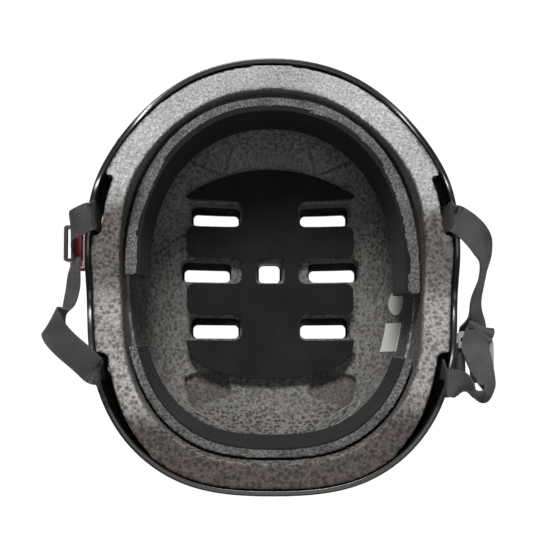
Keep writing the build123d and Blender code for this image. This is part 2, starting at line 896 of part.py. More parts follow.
with BuildPart() as right_front_web:
    add(webbing(centres, acrosses))

centres, acrosses = leg_stations(1, rear_base, right_rear_shares)
lap_rise = tuck_drop + web_gap
for along, rise in (
    (divider_back + divider_length * lap_share, lap_rise + web_gap),
    (divider_front, lap_rise),
    (divider_front + lap_turn, lap_rise - lap_turn / 2),
    (divider_front + lap_turn, -tuck_drop / 2),
):
    centres.append((lap_x, along, divider_height + rise))
    acrosses.append((-1, 0, 0))
with BuildPart() as right_rear_web:
    add(webbing(centres, acrosses))

# Chin web: one strip looped round the divider's bar and the socket's bar
layer = chin_layer_gap / 2 + web_thick / 2
with BuildPart() as chin_web:
    with BuildSketch(Plane.XZ.offset(-chin_along)):
        with BuildLine() as chin_path:
            Polyline(
                (chin_out - layer, chin_bar_height - chin_stitch_drop),
                (chin_out - layer, chin_bar_height - chin_spread),
                (chin_out - chin_turn, chin_bar_height - chin_settle),
                (chin_out - chin_turn, chin_bar_height),
            )
            ThreePointArc(
                (chin_out - chin_turn, chin_bar_height),
                (chin_out, chin_bar_height + chin_turn),
                (chin_out + chin_turn, chin_bar_height),
            )
            Polyline(
                (chin_out + chin_turn, chin_bar_height),
                (chin_out + chin_turn, chin_bar_height - chin_settle),
                (chin_out + layer, chin_bar_height - chin_spread),
                (chin_out + layer, socket_bar_height + chin_spread),
                (chin_out + bar_turn, socket_bar_height + chin_settle),
                (chin_out + bar_turn, socket_bar_height),
            )
            ThreePointArc(
                (chin_out + bar_turn, socket_bar_height),
                (chin_out, socket_bar_height - bar_turn),
                (chin_out - bar_turn, socket_bar_height),
            )
            Polyline(
                (chin_out - bar_turn, socket_bar_height),
                (chin_out - bar_turn, socket_bar_height + chin_settle),
                (chin_out - layer, socket_bar_height + chin_spread),
                (chin_out - layer, chin_bar_height - chin_stitch_drop - web_thick),
            )
        trace(line_width=web_thick)
    extrude(amount=web_width / 2, both=True)

# Sleeves that slide on the chin web
stack = chin_layer_gap + 2 * web_thick + 2 * web_gap
chin_pad_bottom = socket_bar_height + chin_spread + pad_clearance
slider_bottom = chin_pad_bottom + chin_pad_length + chin_pad_travel + pad_clearance
with BuildPart() as chin_pad:
    with BuildSketch(Plane.XY.offset(chin_pad_bottom)):
        with Locations((chin_out, chin_along)):
            RectangleRounded(chin_pad_thick, chin_pad_width, chin_pad_thick / 3)
            Rectangle(stack, slot_length, mode=Mode.SUBTRACT)
    extrude(amount=chin_pad_length)
with BuildPart() as chin_slider:
    with BuildSketch(Plane.XY.offset(slider_bottom)):
        with Locations((chin_out, chin_along)):
            RectangleRounded(stack + 2 * keeper_wall, slot_length + 2 * keeper_wall, keeper_wall)
            Rectangle(stack, slot_length, mode=Mode.SUBTRACT)
    extrude(amount=slider_height)

# Socket of the buckle, mouth down
socket_shoulder = socket_bar_height - bar_drop - socket_head
with BuildPart() as buckle_socket:
    add(
        bar_frame(
            chin_out, chin_along, socket_bar_height, socket_width, socket_thick, socket_head, socket_corner
        )
    )
    with BuildSketch(Plane.XY.offset(socket_shoulder + socket_corner)):
        with Locations((chin_out, chin_along)):
            RectangleRounded(socket_thick, socket_width, socket_corner)
    extrude(amount=-socket_length - socket_corner)
    with BuildSketch(Plane.XY.offset(socket_shoulder - socket_length)):
        with Locations((chin_out, chin_along)):
            RectangleRounded(
                socket_thick - 2 * socket_wall, socket_width - 2 * socket_wall, socket_corner / 2
            )
    extrude(amount=socket_length - socket_wall, mode=Mode.SUBTRACT)
    with BuildSketch(Plane.XZ.offset(-chin_along)):
        with Locations((chin_out, socket_shoulder - socket_length * socket_window_share)):
            RectangleRounded(socket_thick - 2 * socket_corner, socket_window, socket_wall)
    extrude(amount=socket_width, both=True, mode=Mode.SUBTRACT)

pieces = {
    "outer_shell": outer_shell,
    "eps_liner": eps_liner,
    "brow_pad_foam": brow_pad_foam,
    "brow_pad_face": brow_pad_face,
    "rear_pad_foam": rear_pad_foam,
    "rear_pad_face": rear_pad_face,
    "crown_pad_foam": crown_pad_foam,
    "crown_pad_face": crown_pad_face,
    "brow_hooks": brow_hooks,
    "rear_hooks": rear_hooks,
    "crown_hooks": crown_hooks,
    "web_roots": web_roots,
    "front_rivets": front_rivets,
    "rear_rivets": rear_rivets,
    "rivet_washers": rivet_washers,
    "size_sticker": size_sticker,
    "label_sticker": label_sticker,
    "left_front_web": left_front_web,
    "left_rear_web": left_rear_web,
    "left_keeper": left_keeper,
    "plug_body": plug_body,
    "plug_wing_front": plug_wing_front,
    "plug_wing_rear": plug_wing_rear,
    "right_front_web": right_front_web,
    "right_rear_web": right_rear_web,
    "right_divider": right_divider,
    "chin_web": chin_web,
    "chin_pad": chin_pad,
    "chin_slider": chin_slider,
    "buckle_socket": buckle_socket,
}
os.makedirs("parts", exist_ok=True)
for name, piece in pieces.items():
    piece.part.label = name
    export_step(piece.part, f"parts/{name}.step")
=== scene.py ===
import json
import math

import bpy
from mathutils import Matrix, Vector

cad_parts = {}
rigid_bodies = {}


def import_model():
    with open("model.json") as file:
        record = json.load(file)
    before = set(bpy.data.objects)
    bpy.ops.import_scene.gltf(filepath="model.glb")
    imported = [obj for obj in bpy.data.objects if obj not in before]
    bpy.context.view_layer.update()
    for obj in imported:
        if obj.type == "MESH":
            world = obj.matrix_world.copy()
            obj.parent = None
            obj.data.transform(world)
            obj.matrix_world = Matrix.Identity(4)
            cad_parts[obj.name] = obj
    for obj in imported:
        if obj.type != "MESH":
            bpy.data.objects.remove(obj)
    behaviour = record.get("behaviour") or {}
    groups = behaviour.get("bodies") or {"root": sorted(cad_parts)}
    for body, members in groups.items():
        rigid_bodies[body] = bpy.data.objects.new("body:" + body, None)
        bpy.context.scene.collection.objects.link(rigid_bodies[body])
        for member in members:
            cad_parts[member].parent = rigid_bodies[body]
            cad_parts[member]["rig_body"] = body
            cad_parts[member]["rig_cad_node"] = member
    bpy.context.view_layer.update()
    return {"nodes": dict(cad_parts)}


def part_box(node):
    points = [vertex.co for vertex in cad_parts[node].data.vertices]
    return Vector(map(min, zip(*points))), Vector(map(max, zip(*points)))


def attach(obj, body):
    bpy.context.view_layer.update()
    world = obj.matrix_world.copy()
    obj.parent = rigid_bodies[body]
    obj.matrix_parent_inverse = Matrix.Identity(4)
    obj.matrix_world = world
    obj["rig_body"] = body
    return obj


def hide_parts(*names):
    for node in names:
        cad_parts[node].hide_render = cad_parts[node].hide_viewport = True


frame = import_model()

# All lengths are in metres, in the frame of the part: crown on the floor, +Y to the brow

# Camera, above the opening and a little to the rear and the left
camera_spot = Vector((-0.0133, -0.0627, 0.898))
camera_aim = Vector((0.0011, -0.0104, 0.150))
view_width = 0.3135
photo_pixels = 550
camera_back = (camera_spot - camera_aim).normalized()
camera_right = Vector((0, 1, 0)).cross(camera_back).normalized()
camera_up = camera_back.cross(camera_right)

# Webbing
web_width = 0.016
web_thick = 0.0014
rib_pitch = 0.00105
rib_height = 0.00016
thread_pitch = 0.0008
pick_pitch = 0.0021
rows_per_rib = 6
web_columns = 12

# Rim places that the webs turn over, and the line between them that the straps swing on
front_fold = Vector((0.105505, 0.024, 0.1521))
rear_fold = Vector((0.100861, -0.065, 0.1584))
root_step_in = 0.0031
root_bottom = 0.107

# Lean of each web in degrees where it crosses the rim, positive to the rear, and its shift along
# the rim as a share of its width
web_leans = {
    "left_front": (28.0, -0.10),
    "left_rear": (-41.0, 0.06),
    "right_front": (37.0, -0.17),
    "right_rear": (0.0, -0.42),
}

# Plug, divider and chin strap
plug_offset = Vector((0.0106, -0.015, -0.0335))
bar_turn = 0.0026
keeper_drop = 0.0025
divider_height = 0.134
divider_edge = 0.011
tuck_drop = 0.00275
lap_share = 0.70
divider_round = 0.0085
corner_turns = (15, 30, 45, 60, 75)
turns_round_bar = (0, 45, 90, 135, 180)
half_layer = 0.00095

# Liner and shell
liner_voxel = 0.0015
edge_round = 0.0006

# Painted shade, darker and browner, in two recesses at the rear of the liner, left and right: middle
# without its signs, turn, and the half sizes between which they fade out
recess_middle = Vector((0.040, 0.0755, 0))
recess_lean = math.radians(18)
recess_across = (0.0134, 0.0124)
recess_along = (0.0099, 0.0089)

# Zones of the liner's colour, several of them painted light or shade: each fades in from the first value to
# the second
rim_rise = (0.106, 0.118)
# The next three: the rim's darker stretches, painted shade mixed with brown staining
beside_rear = (-0.03, 0.012)
beside_front = (0.032, 0.02)
nape_run = (-0.074, -0.098)
rear_half_shade_run = (0.06, 0.0)
# The next two: the step inside the liner, which gets a painted highlight
ledge_bottom = (0.1, 0.104)
ledge_top = (0.116, 0.112)

# Pads
foam_voxel = 0.001
cloth_thick = 0.0008
wrapped_cloth = 0.0034
cloth_grid = 0.004
cloth_edge = 0.0003
cushion_voxel = 0.0009
wave_size = 0.03
wave_strength = 0.0006

# How the lower edge of each pad stands off the wall: height of the pad's top, drop over which it
# grows, and the share by which it shrinks the plan
brow_lean = (0.130, 0.040, 0.045)
rear_lean = (0.145, 0.033, 0.02)
no_lean = (0.0, 1.0, 0.0)

# Angles over which shading stays sharp
hard_crease = math.radians(35)
cloth_crease = math.radians(40)
web_crease = math.radians(50)

# Studio
floor_size = 12
floor_drop = 0.0005
floor_glow = 1.1
floor_glow_share = 0.93
world_strength = 0.13

# Steam marks of the liner's mould, as pixels of the photograph
steam_marks = (
    (347, 195), (386, 198), (372, 228), (398, 238), (378, 264), (380, 301), (404, 278), (403, 324),
    (398, 364), (377, 385), (153, 292), (138, 326), (157, 330), (160, 364), (139, 361), (185, 396),
    (165, 398),
)
mark_pitch = 0.00095
mark_dot = 0.00034

# Raised outlines of two long slots at the rear of the liner, as pixels of the photograph
slot_outlines = (
    (
        (178, 402), (184, 403), (200, 413), (215, 422), (226, 431), (224, 436), (212, 431), (196, 422),
        (183, 411),
    ),
    (
        (361, 400), (355, 401), (340, 411), (325, 420), (311, 429), (313, 436), (325, 431), (342, 421),
        (356, 410),
    ),
)
outline_radius = 0.00035


def clear_selection():
    if bpy.context.object and bpy.context.object.mode != "OBJECT":
        bpy.ops.object.mode_set(mode="OBJECT")
    bpy.ops.object.select_all(action="DESELECT")


def only(piece):
    """Makes a piece the one that is selected and active."""
    clear_selection()
    piece.select_set(True)
    bpy.context.view_layer.objects.active = piece


def apply_modifier(piece, kind, **settings):
    only(piece)
    modifier = piece.modifiers.new(kind.lower(), kind)
    for name, value in settings.items():
        setattr(modifier, name, value)
    bpy.ops.object.modifier_apply(modifier=modifier.name)


def copy_of(node, name):
    """Loose copy of a CAD node, with its triangles merged."""
    source = frame["nodes"][node]
    piece = source.copy()
    piece.data = source.data.copy()
    piece.name = name
    piece.parent = None
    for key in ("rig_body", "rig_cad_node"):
        del piece[key]
    bpy.context.scene.collection.objects.link(piece)
    only(piece)
    bpy.ops.object.mode_set(mode="EDIT")
    bpy.ops.mesh.select_all(action="SELECT")
    bpy.ops.mesh.remove_doubles(threshold=0.00001)
    bpy.ops.mesh.customdata_custom_splitnormals_clear()
    bpy.ops.object.mode_set(mode="OBJECT")
    piece.data.materials.clear()
    return piece


def finish_piece(piece, body, material, replaced=()):
    """Gives a piece its material and its body, and hides the nodes that it stands for."""
    piece.data.materials.clear()
    piece.data.materials.append(material)
    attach(piece, body)
    if replaced:
        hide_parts(*replaced)


# Material helpers
def add_node(tree, kind, inputs=(), **settings):
    """Adds a shader node; an input is a value or another node's output."""
    made = tree.nodes.new(kind)
    for name, value in settings.items():
        setattr(made, name, value)
    for key, value in dict(inputs).items():
        if isinstance(value, bpy.types.NodeSocket):
            tree.links.new(value, made.inputs[key])
        else:
            made.inputs[key].default_value = value
    return made


def ramp(tree, source, *stops):
    """Colour ramp from (place, grey or colour) stops."""
    made = add_node(tree, "ShaderNodeValToRGB", {"Fac": source})
    elements = made.color_ramp.elements
    while len(elements) < len(stops):
        elements.new(0.5)
    for element, (place, colour) in zip(elements, stops):
        element.position = place
        shade = (colour,) * 3 if isinstance(colour, float) else colour
        element.color = (*shade, 1)
    return made.outputs["Color"]


def mix_colour(tree, share, first, second, blend="MIX"):
    made = tree.nodes.new("ShaderNodeMix")
    made.data_type = "RGBA"
    made.blend_type = blend
    for key, value in ((0, share), (6, first), (7, second)):
        if isinstance(value, bpy.types.NodeSocket):
            tree.links.new(value, made.inputs[key])
        else:
            made.inputs[key].default_value = value
    return made.outputs[2]


def maths(tree, operation, first, second=0.0):
    return add_node(tree, "ShaderNodeMath", {0: first, 1: second}, operation=operation).outputs[0]


def shader_group(name, inputs, outputs):
    """Empty node group with named inputs and outputs, and its two end nodes."""
    group = bpy.data.node_groups.new(name, "ShaderNodeTree")
    for label, kind, value in inputs:
        socket = group.interface.new_socket(label, in_out="INPUT", socket_type=kind)
        socket.default_value = value
    for label, kind in outputs:
        group.interface.new_socket(label, in_out="OUTPUT", socket_type=kind)
    entry = group.nodes.new("NodeGroupInput")
    end = group.nodes.new("NodeGroupOutput")
    return group, entry, end


def dust_group():
    """Pale dust and lint laid over a colour in patches."""
    group, entry, end = shader_group(
        "dust_and_lint",
        [
            ("Colour", "NodeSocketColor", (0.02, 0.02, 0.02, 1)),
            ("Place", "NodeSocketVector", (0, 0, 0)),
            ("Amount", "NodeSocketFloat", 0.2),
        ],
        [("Colour", "NodeSocketColor"), ("Mask", "NodeSocketFloat")],
    )
    place = entry.outputs["Place"]
    patches = add_node(group, "ShaderNodeTexNoise", {"Vector": place, "Scale": 28.0, "Detail": 6.0})
    specks = add_node(group, "ShaderNodeTexVoronoi", {"Vector": place, "Scale": 420.0})
    spots = ramp(group, specks.outputs["Distance"], (0.05, 1.0), (0.16, 0.0))
    cover = ramp(group, patches.outputs["Fac"], (0.45, 0.0), (0.75, 1.0))
    mask = maths(group, "ADD", maths(group, "MULTIPLY", spots, 0.5), cover)
    mask = maths(group, "MULTIPLY", mask, entry.outputs["Amount"])
    colour = mix_colour(group, mask, entry.outputs["Colour"], (0.42, 0.41, 0.39, 1))
    group.links.new(colour, end.inputs["Colour"])
    group.links.new(mask, end.inputs["Mask"])
    return group


def grain_group():
    """Fine moulded grain, as a height and a light change of tone."""
    group, entry, end = shader_group(
        "moulded_grain",
        [("Place", "NodeSocketVector", (0, 0, 0)), ("Scale", "NodeSocketFloat", 900.0)],
        [("Height", "NodeSocketFloat"), ("Tone", "NodeSocketFloat")],
    )
    fine = add_node(
        group,
        "ShaderNodeTexNoise",
        {"Vector": entry.outputs["Place"], "Scale": entry.outputs["Scale"], "Detail": 4.0},
    )
    broad = add_node(
        group, "ShaderNodeTexNoise", {"Vector": entry.outputs["Place"], "Scale": 35.0, "Detail": 3.0}
    )
    group.links.new(fine.outputs["Fac"], end.inputs["Height"])
    group.links.new(broad.outputs["Fac"], end.inputs["Tone"])
    return group


dust = dust_group()
grain = grain_group()


def begin_material(name):
    """New material with its tree, its shader and its Object coordinates."""
    material = bpy.data.materials.new(name)
    material.use_nodes = True
    tree = material.node_tree
    shader = tree.nodes["Principled BSDF"]
    place = tree.nodes.new("ShaderNodeTexCoord").outputs["Object"]
    return material, tree, shader, place


def use_group(tree, group, inputs):
    return add_node(tree, "ShaderNodeGroup", inputs, node_tree=group)


def set_bump(tree, shader, height, strength, distance):
    bump = add_node(tree, "ShaderNodeBump", {"Height": height, "Strength": strength, "Distance": distance})
    tree.links.new(bump.outputs["Normal"], shader.inputs["Normal"])


def plastic_material(name, colour, worn, roughness, amount=0.12, scale=900.0, bump=0.08):
    """Moulded plastic: broad change of tone, fine grain and a little dust."""
    material, tree, shader, place = begin_material(name)
    surface = use_group(tree, grain, {"Place": place, "Scale": scale})
    tone = ramp(tree, surface.outputs["Tone"], (0.35, colour), (0.7, worn))
    dusty = use_group(tree, dust, {"Colour": tone, "Place": place, "Amount": amount})
    tree.links.new(dusty.outputs["Colour"], shader.inputs["Base Color"])
    rough = maths(tree, "MULTIPLY", surface.outputs["Tone"], 0.24)
    rough = maths(tree, "ADD", rough, roughness - 0.1)
    rough = maths(tree, "ADD", rough, maths(tree, "MULTIPLY", dusty.outputs["Mask"], 0.5))
    tree.links.new(rough, shader.inputs["Roughness"])
    set_bump(tree, shader, surface.outputs["Height"], bump, 0.0002)
    return material


def shell_material():
    """Black shell with a soft gloss, faint scuffs and a little dust."""
    material, tree, shader, place = begin_material("shell_black_gloss")
    surface = use_group(tree, grain, {"Place": place, "Scale": 260.0})
    stretch = add_node(tree, "ShaderNodeMapping", {"Vector": place, "Scale": (30.0, 30.0, 420.0)})
    scratches = add_node(
        tree, "ShaderNodeTexNoise", {"Vector": stretch.outputs[0], "Scale": 3.0, "Detail": 8.0}
    )
    scuffs = ramp(tree, scratches.outputs["Fac"], (0.62, 0.0), (0.72, 1.0))
    wear = maths(tree, "MULTIPLY", scuffs, 0.25)
    colour = mix_colour(tree, wear, (0.006, 0.006, 0.007, 1), (0.05, 0.05, 0.052, 1))
    dusty = use_group(tree, dust, {"Colour": colour, "Place": place, "Amount": 0.03})
    tree.links.new(dusty.outputs["Colour"], shader.inputs["Base Color"])
    rough = maths(tree, "ADD", maths(tree, "MULTIPLY", surface.outputs["Tone"], 0.14), 0.2)
    rough = maths(tree, "ADD", rough, maths(tree, "MULTIPLY", scuffs, 0.15))
    tree.links.new(rough, shader.inputs["Roughness"])
    shader.inputs["Coat Weight"].default_value = 0.25
    shader.inputs["Coat Roughness"].default_value = 0.12
    set_bump(tree, shader, surface.outputs["Height"], 0.05, 0.0003)
    return material


def smooth_step(tree, value, low, high):
    """0 below the low value, 1 above the high one."""
    made = add_node(
        tree,
        "ShaderNodeMapRange",
        {"Value": value, "From Min": low, "From Max": high},
        interpolation_type="SMOOTHSTEP",
    )
    return made.outputs["Result"]


def recess_painted_shade(tree, place):
    """1 inside the two shallow recesses at the rear of the liner, which get painted shade."""
    mirrored = add_node(tree, "ShaderNodeVectorMath", {0: place}, operation="ABSOLUTE").outputs[0]
    turned = add_node(
        tree,
        "ShaderNodeVectorRotate",
        {"Vector": mirrored, "Center": recess_middle, "Angle": -recess_lean},
        rotation_type="Z_AXIS",
    )
    shifted = add_node(
        tree, "ShaderNodeVectorMath", {0: turned.outputs[0], 1: recess_middle}, operation="SUBTRACT"
    )
    sizes = add_node(tree, "ShaderNodeVectorMath", {0: shifted.outputs[0]}, operation="ABSOLUTE")
    parts = add_node(tree, "ShaderNodeSeparateXYZ", {"Vector": sizes.outputs[0]})
    across = smooth_step(tree, parts.outputs["X"], *recess_across)
    along = smooth_step(tree, parts.outputs["Y"], *recess_along)
    behind = add_node(tree, "ShaderNodeSeparateXYZ", {"Vector": place}).outputs["Y"]
    both = maths(tree, "MULTIPLY", across, along)
    return maths(tree, "MULTIPLY", both, maths(tree, "LESS_THAN", behind, 0.0))


def bead_foam_material(name, paler_share=0.0):
    """Moulded bead foam: fine grain, brown spots the size of beads, patches of other tone, painted shade on
    the walls, the rim's darker stretches and the rear recesses, and a painted highlight on the inner step.
    """
    material, tree, shader, place = begin_material(name)
    facing = add_node(tree, "ShaderNodeSeparateXYZ", {"Vector": place.node.outputs["Normal"]}).outputs["Z"]
    spot = add_node(tree, "ShaderNodeSeparateXYZ", {"Vector": place})
    patches = add_node(tree, "ShaderNodeTexNoise", {"Vector": place, "Scale": 24.0, "Detail": 4.0})
    patch = patches.outputs["Fac"]
    ruffle = maths(tree, "MULTIPLY", maths(tree, "SUBTRACT", patch, 0.5), 0.03)
    along = maths(tree, "ADD", spot.outputs["Y"], ruffle)
    height = maths(tree, "ADD", spot.outputs["Z"], ruffle)
    rim = maths(
        tree, "MULTIPLY", smooth_step(tree, facing, 0.6, 0.9), smooth_step(tree, height, *rim_rise)
    )

    # The rim beside the front webs and round the rear gets more brown spots and a dark brown tone: painted
    # shade mixed with brown staining
    beside = maths(
        tree, "MULTIPLY", smooth_step(tree, along, *beside_rear), smooth_step(tree, along, *beside_front)
    )
    nape = smooth_step(tree, along, *nape_run)
    brown = maths(tree, "MAXIMUM", maths(tree, "MULTIPLY", beside, 0.8), nape)
    # The rim's rounded edges, where the surface turns down, are added to the dark stretches: painted shade
    edge = maths(tree, "MULTIPLY", smooth_step(tree, facing, 0.2, 0.55), smooth_step(tree, facing, 0.93, 0.7))
    brown = maths(tree, "MAXIMUM", brown, maths(tree, "MULTIPLY", edge, 0.55))
    # The rear half is toned down and gets more brown spots: painted shade
    middle = smooth_step(tree, along, *rear_half_shade_run)
    leopard = maths(tree, "MAXIMUM", brown, maths(tree, "MULTIPLY", middle, 0.6))

    warp = add_node(tree, "ShaderNodeTexNoise", {"Vector": place, "Scale": 220.0, "Detail": 2.0})
    bend = mix_colour(tree, 0.0022, place, warp.outputs["Color"])
    beads = add_node(tree, "ShaderNodeTexVoronoi", {"Vector": bend, "Scale": 330.0, "Randomness": 0.85})
    spots = smooth_step(tree, beads.outputs["Distance"], 0.6, 0.26)
    spots = maths(tree, "MULTIPLY", spots, maths(tree, "ADD", maths(tree, "MULTIPLY", leopard, 0.85), 0.12))
    fine = add_node(tree, "ShaderNodeTexNoise", {"Vector": place, "Scale": 750.0, "Detail": 4.0})
    speckle = ramp(tree, fine.outputs["Fac"], (0.36, 0.6), (0.64, 1.3))

    # Rim top paler than the walls: the walls' darker tone is partly painted shade of the bowl, partly the
    # foam's own tone
    pale = ramp(tree, patch, (0.3, (0.42, 0.42, 0.42)), (0.7, (0.56, 0.56, 0.56)))
    wall = ramp(tree, patch, (0.3, (0.20, 0.205, 0.20)), (0.7, (0.30, 0.305, 0.30)))
    skin = mix_colour(tree, rim, wall, pale)
    # Painted shade over the rear half
    skin = mix_colour(tree, maths(tree, "MULTIPLY", middle, 0.9), skin, (0.8, 0.76, 0.73, 1), "MULTIPLY")
    # Dark brown tone on the rim's darker stretches: painted shade mixed with staining
    skin = mix_colour(tree, maths(tree, "MULTIPLY", brown, rim), skin, (0.115, 0.095, 0.085, 1))
    # Painted shade in the rear recesses
    recess_shade_share = maths(tree, "MULTIPLY", recess_painted_shade(tree, place), 0.6)
    skin = mix_colour(tree, recess_shade_share, skin, (0.07, 0.064, 0.06, 1))
    colour = mix_colour(tree, spots, skin, (0.052, 0.043, 0.038, 1))
    colour = mix_colour(tree, 1.0, colour, speckle, "MULTIPLY")
    # Painted highlight on the top of the step inside the liner
    ledge_highlight = maths(
        tree, "MULTIPLY", smooth_step(tree, facing, 0.5, 0.75), smooth_step(tree, height, *ledge_bottom)
    )
    ledge_highlight = maths(tree, "MULTIPLY", ledge_highlight, smooth_step(tree, height, *ledge_top))
    colour = mix_colour(tree, maths(tree, "MULTIPLY", ledge_highlight, 0.7), colour, (0.6, 0.6, 0.6, 1))
    # Paler tone where asked, as on the steam marks and slot outlines
    colour = mix_colour(tree, paler_share, colour, (0.62, 0.63, 0.62, 1))
    tree.links.new(colour, shader.inputs["Base Color"])
    shader.inputs["Roughness"].default_value = 0.82
    set_bump(tree, shader, maths(tree, "SUBTRACT", speckle, spots), 0.35, 0.0003)
    return material


def pad_foam_material():
    """Open foam as its cut edge shows it, dark with pale specks."""
    material, tree, shader, place = begin_material("pad_foam_grey")
    pores = add_node(tree, "ShaderNodeTexNoise", {"Vector": place, "Scale": 900.0, "Detail": 3.0})
    tone = add_node(tree, "ShaderNodeTexNoise", {"Vector": place, "Scale": 60.0, "Detail": 4.0})
    colour = ramp(tree, tone.outputs["Fac"], (0.35, (0.11, 0.11, 0.11)), (0.7, (0.19, 0.188, 0.185)))
    holes = ramp(tree, pores.outputs["Fac"], (0.4, 0.4), (0.62, 1.35))
    colour = mix_colour(tree, 1.0, colour, holes, "MULTIPLY")
    dusty = use_group(tree, dust, {"Colour": colour, "Place": place, "Amount": 0.05})
    tree.links.new(dusty.outputs["Colour"], shader.inputs["Base Color"])
    shader.inputs["Roughness"].default_value = 0.95
    set_bump(tree, shader, holes, 0.5, 0.0003)
    return material


def brushed_cloth_material(name, dark, worn, rib_count=0):
    """Black brushed cloth with a short nap, some lint and, where asked, ribs that run up and down, with
    painted light and shade across them.
    """
    material, tree, shader, place = begin_material(name)
    nap = add_node(tree, "ShaderNodeTexNoise", {"Vector": place, "Scale": 1800.0, "Detail": 5.0})
    rub = add_node(tree, "ShaderNodeTexNoise", {"Vector": place, "Scale": 45.0, "Detail": 5.0})
    base = ramp(tree, rub.outputs["Fac"], (0.3, dark), (0.75, worn))
    fibres = ramp(tree, nap.outputs["Fac"], (0.4, 0.6), (0.7, 1.5))
    colour = mix_colour(tree, 0.8, base, fibres, "MULTIPLY")
    height = nap.outputs["Fac"]
    if rib_count:
        spot = add_node(tree, "ShaderNodeSeparateXYZ", {"Vector": place})
        turn = maths(tree, "ARCTAN2", spot.outputs["Y"], spot.outputs["X"])
        # Painted light and shade: the ribs are painted lighter and darker in turn
        rib = maths(tree, "SINE", maths(tree, "MULTIPLY", turn, float(rib_count)))
        shade = maths(tree, "ADD", maths(tree, "MULTIPLY", rib, 0.3), 0.85)
        colour = mix_colour(tree, 1.0, colour, shade, "MULTIPLY")
        height = maths(tree, "ADD", height, rib)
    dusty = use_group(tree, dust, {"Colour": colour, "Place": place, "Amount": 0.015})
    tree.links.new(dusty.outputs["Colour"], shader.inputs["Base Color"])
    shader.inputs["Roughness"].default_value = 0.95
    shader.inputs["Sheen Weight"].default_value = 0.05
    shader.inputs["Sheen Roughness"].default_value = 0.4
    set_bump(tree, shader, height, 0.6, 0.0005)
    return material


def webbing_material():
    """Woven webbing: its ribs are in the mesh, and the painted shade between them and the fine threads are
    here.
    """
    material, tree, shader, place = begin_material("webbing_dark_grey")
    strip = add_node(tree, "ShaderNodeUVMap", uv_map="strip").outputs["UV"]
    parts = add_node(tree, "ShaderNodeSeparateXYZ", {"Vector": strip})
    across, along = parts.outputs["X"], parts.outputs["Y"]
    rib = maths(tree, "ABSOLUTE", maths(tree, "SINE", maths(tree, "MULTIPLY", along, math.pi / rib_pitch)))
    # Painted shade, darker towards the bottom of each rib's furrow
    groove_shade = ramp(tree, rib, (0.1, 0.2), (0.75, 1.15))
    threads = maths(tree, "SINE", maths(tree, "MULTIPLY", across, 2 * math.pi / thread_pitch))
    picks = maths(tree, "SINE", maths(tree, "MULTIPLY", along, 2 * math.pi / pick_pitch))
    weave = maths(tree, "MULTIPLY", threads, picks)
    tone = add_node(tree, "ShaderNodeTexNoise", {"Vector": place, "Scale": 70.0, "Detail": 5.0})
    base = ramp(tree, tone.outputs["Fac"], (0.3, (0.05, 0.052, 0.053)), (0.7, (0.082, 0.084, 0.085)))
    lift = maths(tree, "ADD", maths(tree, "MULTIPLY", weave, 0.2), 0.95)
    colour = mix_colour(tree, 1.0, base, maths(tree, "MULTIPLY", lift, groove_shade), "MULTIPLY")
    dusty = use_group(tree, dust, {"Colour": colour, "Place": place, "Amount": 0.02})
    tree.links.new(dusty.outputs["Colour"], shader.inputs["Base Color"])
    shader.inputs["Roughness"].default_value = 0.75
    shader.inputs["Sheen Weight"].default_value = 0.05
    set_bump(tree, shader, weave, 0.35, 0.0002)
    return material


def steel_material():
    """Plated steel with a fine uneven tone."""
    material, tree, shader, place = begin_material("plated_steel")
    marks = add_node(tree, "ShaderNodeTexNoise", {"Vector": place, "Scale": 500.0, "Detail": 6.0})
    colour = ramp(tree, marks.outputs["Fac"], (0.3, 0.42), (0.7, 0.6))
    tree.links.new(colour, shader.inputs["Base Color"])
    rough = ramp(tree, marks.outputs["Fac"], (0.3, 0.28), (0.7, 0.5))
    tree.links.new(rough, shader.inputs["Roughness"])
    shader.inputs["Metallic"].default_value = 1.0
    return material


def sticker_material():
    """Plain white label with a faint paper grain and yellowed patches."""
    material, tree, shader, place = begin_material("plain_label")
    surface = use_group(tree, grain, {"Place": place, "Scale": 1400.0})
    colour = ramp(tree, surface.outputs["Tone"], (0.3, (0.78, 0.77, 0.74)), (0.7, (0.88, 0.88, 0.87)))
    tree.links.new(colour, shader.inputs["Base Color"])
    shader.inputs["Roughness"].default_value = 0.45
    set_bump(tree, shader, surface.outputs["Height"], 0.05, 0.0001)
    return material


shell_black = shell_material()
bead_foam = bead_foam_material("bead_foam")
paler_foam = bead_foam_material("bead_foam_paler", 0.35)
pad_foam = pad_foam_material()
pad_cloth = brushed_cloth_material("brushed_cloth_black", (0.004, 0.005, 0.005), (0.011, 0.012, 0.012))
rear_cloth = brushed_cloth_material(
    "ribbed_cloth_black", (0.014, 0.015, 0.015), (0.028, 0.029, 0.029), rib_count=420
)
webbing = webbing_material()
steel = steel_material()
label = sticker_material()
rivet_black = plastic_material("rivet_coating", (0.012, 0.012, 0.013), (0.04, 0.04, 0.042), 0.32)
buckle_red = plastic_material("buckle_red", (0.62, 0.012, 0.01), (0.78, 0.03, 0.02), 0.28, amount=0.03)
buckle_black = plastic_material("buckle_black", (0.014, 0.014, 0.015), (0.03, 0.03, 0.031), 0.42)
# The divider is black glossy plastic; its grey is a painted reflection of the pale surroundings
divider_painted_reflection = plastic_material("divider_painted_reflection", (0.27, 0.28, 0.28), (0.4, 0.41, 0.41), 0.4)
hook_black = plastic_material(
    "hook_tape", (0.012, 0.012, 0.012), (0.03, 0.03, 0.03), 0.85, scale=2600.0, bump=0.9
)

